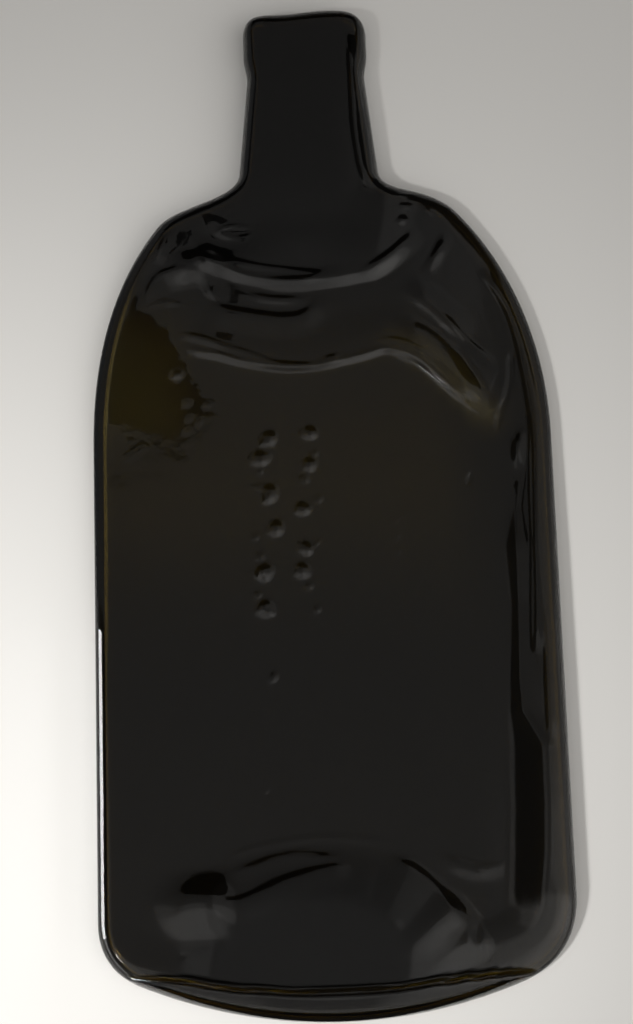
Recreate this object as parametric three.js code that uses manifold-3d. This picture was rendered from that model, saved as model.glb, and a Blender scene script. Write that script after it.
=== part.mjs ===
// A glass bottle that was laid on its side in a kiln and slumped flat into a shallow tray.
// The glass is one piece. It is drawn here in the four regions that the bottle's mould marked on it:
// the upper and lower halves that meet at the side seams, the lip from the neck ring, and the base.
// Millimetres. The tray lies on z = 0, its neck points along +Y and its hollow side faces +Z.

import * as THREE from "three";
import { mergeVertices } from "three/addons/utils/BufferGeometryUtils.js";
import Module from "manifold-3d";

const wasm = await Module();
wasm.setup();

// The round bottle before it went into the kiln
const bottleDiameter = 90;
const bodyWall = 3.2;

// Flattening turns half the bottle's girth into its width
const halfBody = (Math.PI * (bottleDiameter - bodyWall)) / 4 + bodyWall / 2;

// Outline: lengths along the bottle from the middle of its base end, then widths across it
const endArcRadius = 148;
const rightHeelCut = 17;
const leftHeelCut = 12.5;
const sideLength = 172.7;
const shoulderLength = 86.6;
const shoulderOverrun = 6.8;
const rightShoulderPower = 2;
const leftShoulderPower = 2.2;
const rightShoulderEnd = THREE.MathUtils.degToRad(50.4);
const leftShoulderEnd = THREE.MathUtils.degToRad(47);
const neckLength = 30.2;
const swellLength = 9;
const lipLength = 14.4;
const mouthTilt = 1.2;
const neckRootWidth = 43.4;
const neckWidth = 37.2;
const lipWidth = 39;
const rightLipCut = 9.5;
const leftLipCut = 7;
const neckOffset = -1.6;
const rightRootReach = 14;
const leftRootReach = 9;
const neckRootReach = 8.5;
const lipSwell = 3.5;
const neckRoot = sideLength + shoulderLength;
const neckTop = neckRoot + neckLength;
const lipStart = neckTop + swellLength;
const mouthEnd = lipStart + lipLength;

// Heights: the sunken panel lies on the lower glass. The shoulder, both rims, the base sheet and the
// end ridge rise from the panel, the collar and the tongue from the shoulder, the neck from the collar
const trappedAir = 0.3;
const panelHeight = 2 * bodyWall + trappedAir;
const shoulderRise = 2.9;
const collarRise = 1.6;
const neckRise = 0.8;
const tongueRise = 1.2;
const rightRimRise = 5.3;
const leftRimRise = 3.1;
const baseSheetRise = 3.9;
const endRidgeRise = 7.3;

// How much thicker than the body wall the glass gets, from the shoulder by the collar to the neck
const shoulderThickening = 0.8;
const collarThickening = 0.8;
const neckThickening = 0.3;
const neckSideThickening = 1.1;
const lowerNeckThickening = 1.8;
const baseThickening = 3;
const neckWall = bodyWall + shoulderThickening + collarThickening + neckThickening;
const neckSideWall = bodyWall + neckSideThickening;
const lowerNeckWall = bodyWall + lowerNeckThickening;

// Folded edges: the rounding reaches past the wall by a bulge, and its middle lies at the seam
const rightBulge = 3;
const leftBulge = 1.4;
const neckBulge = 1.3;
const endBulge = 6.1;
const sideSeamRise = 1.8;
const sideSeamHeight = bodyWall + sideSeamRise;
const neckHeight = panelHeight + shoulderRise + collarRise + neckRise;
const neckHollow = neckHeight - neckWall - lowerNeckWall;
const neckSeamHeight = lowerNeckWall + neckHollow / 2;
const endSeamHeight = bodyWall + trappedAir / 2;

// Rims: where the crest lies and where the slope meets the sunken panel, in from the outline
const rightRimCrest = 7;
const rightRimFoot = 17.5;
const leftRimCrest = 4.6;
const leftRimFoot = 8.6;
const rimChange = 20;
const ridgeFoot = 20;
const ridgeInset = 12;
const ridgeFade = 22;
const endTurn = 12;

// Folds that the collapsed shoulder left: two rings round the neck root, and on the right a step
// that runs from the outer ring to the rim, with a rolled tongue of glass along it
const ringOffset = new THREE.Vector2(-7, 1);
const ringCentre = new THREE.Vector2(0, neckRoot).add(ringOffset);
const collarRing = 42;
const shoulderRing = 65;
const foldSlope = 5;
const creaseRound = 1;
const stepAngle = THREE.MathUtils.degToRad(25.4);
const stepDrop = 23;
const tongueRootOffset = new THREE.Vector2(3, 8);
const tongueTipOffset = new THREE.Vector2(-2, 8);
const tongueBow = 3;
const tongueRootReach = 7;
const tongueTipReach = 2.5;
const stepStart = new THREE.Vector2(Math.sin(stepAngle), -Math.cos(stepAngle))
  .multiplyScalar(shoulderRing)
  .add(ringCentre);
const stepEnd = new THREE.Vector2(halfBody - rightRimFoot, stepStart.y - stepDrop);
const tongueRoot = stepStart.clone().add(tongueRootOffset);
const tongueTip = stepEnd.clone().add(tongueTipOffset);

// The base disc, folded over on to the lower half, and the fill between it and the right rim
const baseCentre = new THREE.Vector2(-8, 10.3);
const heelSpread = 3;
const baseHalfWidth = bottleDiameter / 2 + heelSpread;
const baseRise = 42;
const basePower = 2.5;
const baseSlope = 5;
const baseDish = 1.1;
const cornerFill = 2.4;
const cornerFillWidth = 24;
const cornerFillTop = 62;
const cornerFillBottom = 30;

// The mouth, pressed to a slit, and the seams that the mould left at the base and under the lip
const mouthSideWall = 6.5;
const mouthWidth = lipWidth - 2 * mouthSideWall;
const heelSeam = 8;
const neckRingDrop = 2.5;
const seamGap = 0.3;

// How finely the shape is cut: the outline first, then the faces wherever they bend
const acrossSteps = 16;
const cornerSteps = 2;
const outerCut = { bands: 4, splits: 3 };
const hollowCut = { bands: 2, splits: 1 };
const stretchSteps = { side: 11, shoulder: 10, root: 5, neck: 3, swell: 3, lip: 1 };
const bendTolerance = 0.22;
const shortestEdge = 2.4;
const slitSides = 8;
const archSteps = 48;
const overshoot = 20;
const farAbove = 60;

const lerp = THREE.MathUtils.lerp;

// Runs smoothly from 0 at a to 1 at b, whichever of the two is larger
function ease(a, b, value) {
  const t = THREE.MathUtils.clamp((value - a) / (b - a), 0, 1);
  return t * t * (3 - 2 * t);
}

// The larger of two heights, with the corner between them rounded over the given width
function roundedMax(a, b, width) {
  const h = Math.max(width - Math.abs(a - b), 0) / width;
  return Math.max(a, b) + (h * h * width) / 4;
}

// One shoulder: a quarter of a superellipse, from the side of the body towards the neck
class ShoulderCurve extends THREE.Curve {
  constructor(side) {
    super();
    this.side = side;
    this.power = side > 0 ? rightShoulderPower : leftShoulderPower;
    this.endAngle = side > 0 ? rightShoulderEnd : leftShoulderEnd;
  }
  getPoint(t, target = new THREE.Vector2()) {
    const angle = this.endAngle * t;
    const x = halfBody * Math.cos(angle) ** (2 / this.power);
    const rise = shoulderLength + shoulderOverrun;
    const y = sideLength + rise * Math.sin(angle) ** (2 / this.power);
    return target.set(this.side * x, y);
  }
}

const endArcHeight = (x) => endArcRadius - Math.sqrt(endArcRadius ** 2 - x ** 2);
const heelTop = endArcHeight(halfBody) + Math.max(leftHeelCut, rightHeelCut);

// The rounded corner between the base end and the side
function heelCurve(side) {
  const cut = side > 0 ? rightHeelCut : leftHeelCut;
  const corner = new THREE.Vector2(side * halfBody, endArcHeight(halfBody));
  const turn = Math.asin(halfBody / endArcRadius) - cut / endArcRadius;
  const x = endArcRadius * Math.sin(turn);
  const start = new THREE.Vector2(side * x, endArcHeight(x));
  const end = corner.clone().add(new THREE.Vector2(0, cut));
  return new THREE.QuadraticBezierCurve(start, corner, end);
}

const mouthHeight = (side) => mouthEnd + (side * mouthTilt) / 2;
const neckSide = (side, width) => neckOffset + (side * width) / 2;

// The rounded corner of the lip
function lipCurve(side) {
  const x = neckSide(side, lipWidth);
  const cut = side > 0 ? rightLipCut : leftLipCut;
  const corner = new THREE.Vector2(x, mouthHeight(side));
  const start = new THREE.Vector2(x, mouthHeight(side) - cut);
  const end = new THREE.Vector2(x - side * cut, mouthHeight(side));
  return new THREE.QuadraticBezierCurve(start, corner, end);
}

// Points from one place on a curve to another
function along(curve, steps, from = 0, to = 1) {
  return Array.from({ length: steps + 1 }, (_, i) => curve.getPoint(lerp(from, to, i / steps)));
}

// Runs of points joined end to end, each shared end once
function joined(runs) {
  return runs.flatMap((run, i) => (i ? run.slice(1) : run));
}

// One side of the outline, from the middle of the heel corner to the middle of the lip corner
function sideOutline(side) {
  const heel = heelCurve(side);
  const shoulder = new ShoulderCurve(side);
  const shoulderEnd = shoulder.getPoint(1);
  const rootReach = side > 0 ? rightRootReach : leftRootReach;
  const rootPoint = new THREE.Vector2(neckSide(side, neckRootWidth), neckRoot);
  const topPoint = new THREE.Vector2(neckSide(side, neckWidth), neckTop);
  const lipPoint = new THREE.Vector2(neckSide(side, lipWidth), lipStart);
  const neckDirection = topPoint.clone().sub(rootPoint).normalize();
  const root = new THREE.CubicBezierCurve(
    shoulderEnd,
    shoulderEnd.clone().addScaledVector(shoulder.getTangent(1), rootReach),
    rootPoint.clone().addScaledVector(neckDirection, -neckRootReach),
    rootPoint,
  );
  const swell = new THREE.CubicBezierCurve(
    topPoint,
    topPoint.clone().addScaledVector(neckDirection, lipSwell),
    lipPoint.clone().sub(new THREE.Vector2(0, lipSwell)),
    lipPoint,
  );
  const body = new THREE.LineCurve(heel.getPoint(1), shoulder.getPoint(0));
  const lip = lipCurve(side);
  return joined([
    along(heel, cornerSteps, 0.5, 1),
    along(body, stretchSteps.side),
    along(shoulder, stretchSteps.shoulder),
    along(root, stretchSteps.root),
    along(new THREE.LineCurve(rootPoint, topPoint), stretchSteps.neck),
    along(swell, stretchSteps.swell),
    along(new THREE.LineCurve(lipPoint, lip.getPoint(0)), stretchSteps.lip),
    along(lip, cornerSteps, 0, 0.5),
  ]);
}

// The base end, from the left heel corner to the right one
function endOutline() {
  const from = heelCurve(-1).getPoint(0).x;
  const to = heelCurve(1).getPoint(0).x;
  const steps = acrossSteps - 2 * cornerSteps;
  const arc = Array.from({ length: steps + 1 }, (_, i) => {
    const x = lerp(from, to, i / steps);
    return new THREE.Vector2(x, endArcHeight(x));
  });
  const leftHeel = along(heelCurve(-1), cornerSteps, 0.5, 0);
  const rightHeel = along(heelCurve(1), cornerSteps, 0, 0.5);
  return joined([leftHeel, arc, rightHeel]);
}

// The mouth end, from the left lip corner to the right one
function mouthOutline() {
  const left = lipCurve(-1);
  const right = lipCurve(1);
  const edge = new THREE.LineCurve(left.getPoint(1), right.getPoint(1));
  return joined([
    along(left, cornerSteps, 0.5, 1),
    along(edge, acrossSteps - 2 * cornerSteps),
    along(right, cornerSteps, 1, 0.5),
  ]);
}

const endLine = endOutline();
const mouthLine = mouthOutline();
const rightLine = sideOutline(1);
const leftLine = sideOutline(-1);
const alongSteps = rightLine.length - 1;

// The closed outline, anticlockwise seen from above, with the way in at each point
const outline = [
  ...endLine.slice(0, -1),
  ...rightLine.slice(0, -1),
  ...mouthLine.slice(1).reverse(),
  ...leftLine.slice(1).reverse(),
];
const inward = outline.map((point, i) => {
  const before = outline.at(i - 1);
  const after = outline[(i + 1) % outline.length];
  const toAfter = after.clone().sub(point);
  const fromBefore = point.clone().sub(before);
  const way = toAfter.normalize().add(fromBefore.normalize()).normalize();
  return new THREE.Vector2(-way.y, way.x);
});

// Distance in from the nearest point of the outline
function depthInside(x, y) {
  let least = Infinity;
  outline.forEach((a, i) => {
    const b = outline[(i + 1) % outline.length];
    const dx = b.x - a.x;
    const dy = b.y - a.y;
    const share = ((x - a.x) * dx + (y - a.y) * dy) / (dx * dx + dy * dy);
    const t = THREE.MathUtils.clamp(share, 0, 1);
    least = Math.min(least, Math.hypot(x - a.x - t * dx, y - a.y - t * dy));
  });
  return least;
}

// 1 on the neck, 0 on the body
const neckShare = (y) => ease(neckRoot - collarRing / 2, neckRoot, y);

// 1 on the base end, 0 past the heel corners
const endShare = (y) => ease(heelTop, endTurn, y);

// Distance from the neck root's centre, which the shoulder's folds go round
function ringDistance(x, y) {
  return Math.hypot(x - ringCentre.x, Math.min(y - ringCentre.y, 0));
}

// 0 in the middle of the folded base disc, 1 on its edge and more where its edge slopes down
const baseFoot = 1 + baseSlope / baseRise;
function baseDistance(x, y) {
  const across = Math.abs(x - baseCentre.x) / baseHalfWidth;
  const up = Math.max(y - baseCentre.y, 0) / baseRise;
  return (across ** basePower + up ** basePower) ** (1 / basePower);
}

// 0 on the panel and 1 on the shoulder, which ends in the outer ring and in the step on the right
function shoulderShare(x, y) {
  const ring = shoulderRing - ringDistance(x, y);
  const way = stepEnd.clone().sub(stepStart).normalize();
  const step = way.cross(new THREE.Vector2(x, y).sub(stepStart));
  return ease(0, foldSlope, roundedMax(ring, step, foldSlope));
}

// 0 outside the collar and 1 on it, the ground that the inner ring encloses
const collarShare = (x, y) => ease(collarRing, collarRing - foldSlope, ringDistance(x, y));

// Height of the tongue-shaped roll, which runs from the shoulder to the right rim
function tongueAt(x, y) {
  const axis = tongueTip.clone().sub(tongueRoot);
  const fromRoot = new THREE.Vector2(x, y).sub(tongueRoot);
  const share = THREE.MathUtils.clamp(fromRoot.dot(axis) / axis.lengthSq(), 0, 1);
  const normal = new THREE.Vector2(-axis.y, axis.x).normalize();
  const bow = tongueBow * 4 * share * (1 - share);
  const middle = tongueRoot.clone().addScaledVector(axis, share).addScaledVector(normal, bow);
  const off = middle.distanceTo(new THREE.Vector2(x, y));
  const reach = lerp(tongueRootReach, tongueTipReach, share);
  return panelHeight + (shoulderRise + tongueRise) * ease(reach + foldSlope / 2, 0, off);
}

// Height of the rim at a depth in from the outline
function rimAt(x, y, depth) {
  const right = ease(-rimChange, rimChange, x);
  const rise = lerp(leftRimRise, rightRimRise, right);
  const crest = lerp(leftRimCrest, rightRimCrest, right);
  const foot = lerp(leftRimFoot, rightRimFoot, right);
  const side = rise * ease(foot, crest, depth);
  const onRidge = endShare(y) * ease(ridgeInset, ridgeInset + ridgeFade, halfBody - Math.abs(x));
  const ridge = endRidgeRise * ease(ridgeFoot, bodyWall + endBulge, depth);
  return panelHeight + lerp(side, ridge, onRidge);
}

// Height of the top face, before its edges are rounded down
function topHeight(x, y, depth) {
  let height = panelHeight;
  height += shoulderRise * shoulderShare(x, y);
  height += collarRise * collarShare(x, y);
  height += neckRise * neckShare(y);
  height = roundedMax(height, tongueAt(x, y), creaseRound);
  const base = baseDistance(x, y);
  const inBase = ease(baseFoot, 1, base);
  const sheet = baseSheetRise - baseDish * Math.max(1 - base * base, 0);
  const toRim = halfBody - rightRimFoot - x;
  const fill = ease(cornerFillWidth, 0, toRim) * ease(cornerFillTop, cornerFillBottom, y);
  height += lerp(cornerFill * fill, sheet, inBase);
  return roundedMax(height, rimAt(x, y, depth), creaseRound);
}

// Thickness of the upper glass
function upperWall(x, y) {
  let wall = bodyWall;
  wall += shoulderThickening * shoulderShare(x, y);
  wall += collarThickening * collarShare(x, y);
  wall += neckThickening * neckShare(y);
  const inBase = ease(1, 1 - baseSlope / baseRise, baseDistance(x, y));
  return lerp(wall, bodyWall + baseThickening, inBase);
}

// Top of the lower glass
const lowerTop = (y) => lerp(bodyWall, lowerNeckWall, neckShare(y));

// Underside of the upper glass, which rests on the lower glass with a film of air between
function upperUnderside(x, y, depth) {
  return Math.max(topHeight(x, y, depth) - upperWall(x, y), lowerTop(y) + trappedAir);
}

// Height of the side seam, where the upper and lower glass meet in the fold
function seamHeight(y) {
  const side = lerp(sideSeamHeight, neckSeamHeight, neckShare(y));
  return lerp(side, endSeamHeight, endShare(y));
}

// How thick the glass is in the fold, and how far the rounded edge reaches in
const foldWall = (y) => lerp(bodyWall, neckSideWall, neckShare(y));
function roundReach(x, y) {
  const body = lerp(leftBulge, rightBulge, ease(-rimChange, rimChange, x));
  const side = lerp(body, neckBulge, neckShare(y));
  const onEnd = endShare(y) * ease(0, ridgeInset + ridgeFade, halfBody - Math.abs(x));
  return foldWall(y) + lerp(side, endBulge, onEnd);
}

// Rings of points round the edge of a face, from an inset in the fold to the end of the rounding
function edgeBands(count, inset, heightAt) {
  return Array.from({ length: count + 1 }, (_, k) => {
    const turn = (Math.PI / 2) * (k / count);
    return outline.map((point, i) => {
      const reach = roundReach(point.x, point.y);
      const depth = lerp(inset(point.y), reach, 1 - Math.cos(turn));
      const { x, y } = point.clone().addScaledVector(inward[i], depth);
      return new THREE.Vector3(x, y, heightAt(x, y, depth, Math.sin(turn), point.y));
    });
  });
}

// Cross lines that fill a ring, blended from the four stretches that the ring is made of
function crossGrid(ring, inside) {
  const mouthAt = acrossSteps + alongSteps;
  const leftAt = mouthAt + acrossSteps;
  const end = ring.slice(0, acrossSteps + 1);
  const right = ring.slice(acrossSteps, mouthAt + 1);
  const mouth = ring.slice(mouthAt, leftAt + 1).reverse();
  const left = [...ring.slice(leftAt), ring[0]].reverse();
  const between = (a, b, t) => a.clone().lerp(b, t);
  return right.map((_, j) => {
    if (j === 0) return end;
    if (j === alongSteps) return mouth;
    const v = j / alongSteps;
    return end.map((_, i) => {
      if (i === 0) return left[j];
      if (i === acrossSteps) return right[j];
      const u = i / acrossSteps;
      const corners = between(
        between(end[0], end[acrossSteps], u),
        between(mouth[0], mouth[acrossSteps], u),
        v,
      );
      const { x, y } = between(left[j], right[j], u).add(between(end[i], mouth[i], v)).sub(corners);
      return inside(x, y);
    });
  });
}

// A face that covers the outline, as its edge bands and the triangles inside them. heightAt gives z
// from x, y, the depth, the share of the rounding that is done, and the y of the edge beside it.
function face(cut, inset, heightAt) {
  const bands = edgeBands(cut.bands, inset, heightAt);
  const inside = (x, y) => new THREE.Vector3(x, y, heightAt(x, y, depthInside(x, y), 1, y));
  const grid = crossGrid(bands.at(-1), inside);
  return { bands, middle: splitWhereBent(gridTriangles(grid), inside, cut.splits) };
}

// The triangles of a grid of points, seen from above
function gridTriangles(grid) {
  const triangles = [];
  for (let j = 0; j < grid.length - 1; j++) {
    for (let i = 0; i < grid[j].length - 1; i++) {
      const [a, b] = [grid[j][i], grid[j][i + 1]];
      const [c, d] = [grid[j + 1][i + 1], grid[j + 1][i]];
      triangles.push([a, b, c], [a, c, d]);
    }
  }
  return triangles;
}

// Splits the edges that stray from the true surface, so that flat stretches stay coarse. The edges
// round the outside stay whole, and so does each pair of neighbours' shared edge or its two halves.
function splitWhereBent(triangles, inside, splits) {
  const names = new Map();
  const nameOf = (point) => names.get(point) ?? names.set(point, names.size).get(point);
  const edgeName = (a, b) => [nameOf(a), nameOf(b)].sort((m, n) => m - n).join();
  const edgesOf = (triangle) => triangle.map((point, i) => [point, triangle[(i + 1) % 3]]);
  const flatLength = ([a, b]) => Math.hypot(b.x - a.x, b.y - a.y);
  const longest = (edges) => edges.reduce((m, n) => (flatLength(n) > flatLength(m) ? n : m));
  const strays = ([a, b]) =>
    [0.25, 0.5, 0.75].some((t) => {
      const surface = inside(lerp(a.x, b.x, t), lerp(a.y, b.y, t));
      return Math.abs(surface.z - lerp(a.z, b.z, t)) > bendTolerance;
    });
  for (let pass = 0; pass < splits; pass++) {
    const uses = new Map();
    triangles.flatMap(edgesOf).forEach((edge) => {
      const name = edgeName(...edge);
      uses.set(name, { edge, count: (uses.get(name)?.count ?? 0) + 1 });
    });
    const middles = new Map();
    const split = (name, [a, b]) => {
      middles.set(name, inside((a.x + b.x) / 2, (a.y + b.y) / 2));
    };
    uses.forEach(({ edge, count }, name) => {
      if (count === 2 && flatLength(edge) > shortestEdge && strays(edge)) split(name, edge);
    });
    let settled = false;
    while (!settled) {
      settled = true;
      triangles.map(edgesOf).forEach((edges) => {
        const name = edgeName(...longest(edges));
        const touched = edges.some((edge) => middles.has(edgeName(...edge)));
        if (!touched || middles.has(name) || uses.get(name).count < 2) return;
        split(name, longest(edges));
        settled = false;
      });
    }
    triangles = triangles.flatMap((triangle) => {
      const cuts = edgesOf(triangle).map((edge) => middles.get(edgeName(...edge)));
      return splitTriangle(triangle, cuts);
    });
  }
  return triangles;
}

// The pieces of a triangle whose edges may each have a point to be cut at
function splitTriangle([a, b, c], [ab, bc, ca]) {
  if (ab && bc && ca) return [[a, ab, ca], [ab, b, bc], [ca, bc, c], [ab, bc, ca]];
  if (!ab && !bc && !ca) return [[a, b, c]];
  if (!ab) return splitTriangle([b, c, a], [bc, ca, ab]);
  if (!bc && !ca) return [[a, ab, c], [ab, b, c]];
  if (!bc) return splitTriangle([c, a, b], [ca, ab, bc]);
  return [[ab, b, bc], ...shorterCut(a, ab, bc, c)];
}

// Two triangles from four corners, cut along the shorter diagonal
function shorterCut(a, b, c, d) {
  const acrossAC = a.distanceTo(c) < b.distanceTo(d);
  return acrossAC ? [[a, b, c], [a, c, d]] : [[a, b, d], [b, c, d]];
}

// All the triangles of a face, seen from above
function faceTriangles({ bands, middle }) {
  return [...gridTriangles(bands.map((band) => [...band, band[0]])), ...middle];
}

// A geometry from triangles
function geometryOf(triangles) {
  const corners = triangles.flatMap((triangle) => triangle.flatMap((p) => [p.x, p.y, p.z]));
  const geometry = new THREE.BufferGeometry();
  geometry.setAttribute("position", new THREE.Float32BufferAttribute(corners, 3));
  return geometry;
}

// A closed body between an upper and a lower face, whose outer edges are joined by a strip
function bodyBetween(upper, lower) {
  const triangles = faceTriangles(upper);
  faceTriangles(lower).forEach(([a, b, c]) => triangles.push([a, c, b]));
  const [above, below] = [upper.bands[0], lower.bands[0]];
  above.forEach((point, i) => {
    const next = (i + 1) % above.length;
    triangles.push([below[i], below[next], above[next]], [below[i], above[next], point]);
  });
  return solidOf(geometryOf(triangles));
}

// A three.js geometry as a solid that can be cut and joined
function solidOf(geometry) {
  const bare = geometry.index ? geometry.toNonIndexed() : geometry.clone();
  bare.deleteAttribute("normal");
  bare.deleteAttribute("uv");
  const merged = mergeVertices(bare, 1e-5);
  const corners = Array.from(merged.index.array);
  const triVerts = [];
  for (let i = 0; i < corners.length; i += 3) {
    const [a, b, c] = corners.slice(i, i + 3);
    if (a !== b && b !== c && c !== a) triVerts.push(a, b, c);
  }
  const vertProperties = new Float32Array(merged.attributes.position.array);
  return new wasm.Manifold(
    new wasm.Mesh({ numProp: 3, vertProperties, triVerts: new Uint32Array(triVerts) }),
  );
}

function geometryFrom(solid) {
  const { vertProperties, triVerts, numProp } = solid.getMesh();
  const positions = new Float32Array((vertProperties.length / numProp) * 3);
  for (let i = 0; i < positions.length / 3; i++) {
    positions.set(vertProperties.subarray(i * numProp, i * numProp + 3), i * 3);
  }
  const geometry = new THREE.BufferGeometry();
  geometry.setAttribute("position", new THREE.BufferAttribute(positions, 3));
  geometry.setIndex(new THREE.BufferAttribute(new Uint32Array(triVerts), 1));
  geometry.computeVertexNormals();
  return geometry;
}

// Everything between two places along the bottle
function slab(from, to) {
  const width = 2 * halfBody + 2 * overshoot;
  const box = new THREE.BoxGeometry(width, to - from, 2 * farAbove);
  return solidOf(box.translate(0, (from + to) / 2, 0));
}

// The faces of the glass: its top, its underside and the hollow, which opens by the given gap
const noInset = () => 0;
const topFace = (gap) =>
  face(outerCut, noInset, (x, y, depth, turned, edge) =>
    lerp(seamHeight(edge) + gap / 2, topHeight(x, y, depth), turned),
  );
const bottomFace = (gap) =>
  face(outerCut, noInset, (x, y, depth, turned, edge) =>
    lerp(seamHeight(edge) - gap / 2, 0, turned),
  );
const hollowTop = face(hollowCut, foldWall, (x, y, depth, turned, edge) =>
  lerp(seamHeight(edge) + seamGap / 2, upperUnderside(x, y, depth), turned),
);
const hollowBottom = face(hollowCut, foldWall, (x, y, depth, turned, edge) =>
  lerp(seamHeight(edge) - seamGap / 2, lowerTop(y), turned),
);

// The base disc and its end wall, as the space that they fill, grown by a gap for the cut round them
function baseSpace(gap) {
  const halfWidth = baseHalfWidth * baseFoot + gap;
  const rise = baseRise * baseFoot + gap;
  const arch = Array.from({ length: archSteps + 1 }, (_, i) => {
    const angle = (Math.PI * i) / archSteps;
    const across = Math.abs(Math.cos(angle)) ** (2 / basePower);
    const up = Math.abs(Math.sin(angle)) ** (2 / basePower);
    return new THREE.Vector2(Math.sign(Math.cos(angle)) * across * halfWidth, up * rise);
  });
  arch.push(new THREE.Vector2(-halfWidth, -overshoot), new THREE.Vector2(halfWidth, -overshoot));
  const shape = new THREE.Shape(arch.map((point) => point.add(baseCentre)));
  const disc = new THREE.ExtrudeGeometry(shape, { depth: farAbove, bevelEnabled: false });
  disc.translate(0, 0, bodyWall + trappedAir / 2);
  return solidOf(disc).add(slab(-overshoot, heelSeam + gap));
}

// The mouth, as the space of a flat slit that runs out of the neck
function mouthSpace() {
  const slit = new THREE.Shape();
  slit.absellipse(0, 0, mouthWidth / 2, neckHollow / 2, 0, 2 * Math.PI);
  const length = mouthEnd - neckTop + overshoot;
  const options = { depth: length, bevelEnabled: false, curveSegments: slitSides };
  const geometry = new THREE.ExtrudeGeometry(slit, options);
  geometry.rotateX(-Math.PI / 2);
  return solidOf(geometry.translate(neckOffset, neckTop, neckSeamHeight));
}

// Makes the four regions of the glass, each a solid of its own
function makeRegions() {
  const whole = bodyBetween(topFace(0), bottomFace(0));
  const hollow = bodyBetween(hollowTop, hollowBottom).add(mouthSpace());
  const glass = whole.subtract(hollow);
  const neckRingSeam = lipStart - neckRingDrop;
  const past = mouthEnd + mouthTilt + overshoot;
  const ends = baseSpace(seamGap).add(slab(neckRingSeam - seamGap, past));
  return {
    upper_half: bodyBetween(topFace(seamGap), hollowTop).subtract(ends),
    lower_half: bodyBetween(hollowBottom, bottomFace(seamGap)).subtract(ends),
    base: glass.intersect(baseSpace(0)),
    lip: glass.intersect(slab(neckRingSeam, past)),
  };
}

// Colours as the glass shows them: nearly black, and olive where light gets through
const bottleGlass = { color: 0x14130a, roughness: 0.05, metalness: 0 };

const bottle = new THREE.Group();
for (const [name, solid] of Object.entries(makeRegions())) {
  const mesh = new THREE.Mesh(geometryFrom(solid), new THREE.MeshStandardMaterial(bottleGlass));
  mesh.name = name;
  bottle.add(mesh);
}

// The origin is under the middle of the tray, on the surface that it lies on
const extent = new THREE.Box3().setFromObject(bottle);
const middle = extent.getCenter(new THREE.Vector3());
bottle.position.set(-middle.x, -middle.y, -extent.min.z);

export default bottle;
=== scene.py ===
import math

import bmesh
import bpy
import numpy as np
from mathutils import Matrix, Vector


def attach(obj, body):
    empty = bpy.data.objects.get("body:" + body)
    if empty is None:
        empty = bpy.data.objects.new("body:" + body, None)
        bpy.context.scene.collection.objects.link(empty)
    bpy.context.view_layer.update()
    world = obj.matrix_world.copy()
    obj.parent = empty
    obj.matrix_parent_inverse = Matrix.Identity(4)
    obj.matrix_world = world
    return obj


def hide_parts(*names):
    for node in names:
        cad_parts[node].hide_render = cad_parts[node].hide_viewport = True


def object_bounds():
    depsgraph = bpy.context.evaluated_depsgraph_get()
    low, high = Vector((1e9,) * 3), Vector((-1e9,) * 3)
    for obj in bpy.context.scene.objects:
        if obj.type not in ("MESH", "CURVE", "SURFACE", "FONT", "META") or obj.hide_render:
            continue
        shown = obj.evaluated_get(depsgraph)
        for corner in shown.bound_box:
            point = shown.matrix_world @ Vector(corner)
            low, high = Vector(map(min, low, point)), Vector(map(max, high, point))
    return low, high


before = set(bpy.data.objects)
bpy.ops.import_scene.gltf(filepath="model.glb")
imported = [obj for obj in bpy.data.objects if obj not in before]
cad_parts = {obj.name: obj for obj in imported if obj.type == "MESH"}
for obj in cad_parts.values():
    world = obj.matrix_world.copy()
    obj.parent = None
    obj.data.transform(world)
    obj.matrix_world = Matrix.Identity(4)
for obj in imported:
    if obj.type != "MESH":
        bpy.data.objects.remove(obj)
cad_low, cad_high = [list(corner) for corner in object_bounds()]

# The glass. It is one continuous piece of dark olive container glass: a bottle that lay on its
# side in a kiln until its upper half sank on to the lower half. The outline comes first. Lengths
# are millimetres, x across the tray and y along it from the middle of the base end.
MILLIMETRE = 0.001
base_end = cad_low[1] / MILLIMETRE
half_body = cad_high[0] / MILLIMETRE
wall = 3.2

RIGHT, LEFT = 1, -1
end_arc_radius = 148.0
heel_cut = {RIGHT: 17.0, LEFT: 12.5}
side_length = 172.7
shoulder_length = 86.6
shoulder_overrun = 6.8
shoulder_power = {RIGHT: 2.0, LEFT: 2.2}
shoulder_end = {RIGHT: math.radians(50.4), LEFT: math.radians(47.0)}
neck_length = 30.2
swell_length = 9.0
lip_length = 14.4
mouth_tilt = 1.2
mouth_wave = 0.45
neck_root_width = 43.4
neck_width = 37.2
lip_width = 39.0
lip_cut = {RIGHT: 9.5, LEFT: 7.0}
neck_offset = -1.6
root_reach = {RIGHT: 14.0, LEFT: 9.0}
neck_root_reach = 8.5
lip_swell = 3.5
neck_root = side_length + shoulder_length
neck_top = neck_root + neck_length
lip_start = neck_top + swell_length
mouth_end = lip_start + lip_length


def lerp(a, b, t):
    return a + (b - a) * t


def ease(a, b, value):
    """Runs smoothly from 0 at a to 1 at b, whichever of the two is larger"""
    t = np.clip((value - a) / (b - a), 0, 1)
    return t * t * (3 - 2 * t)


def rounded_max(a, b, width):
    """The larger of two heights, with the corner between them rounded over the given width"""
    h = np.maximum(width - np.abs(a - b), 0) / width
    return np.maximum(a, b) + h * h * width / 4


def unit(v):
    return v / np.hypot(*v)


def bezier(points, t):
    points = [np.asarray(p, float) for p in points]
    t = np.asarray(t, float)[:, None]
    while len(points) > 1:
        points = [a * (1 - t) + b * t for a, b in zip(points, points[1:])]
    return points[0]


def end_arc(x):
    return end_arc_radius - np.sqrt(end_arc_radius**2 - x**2)


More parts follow.
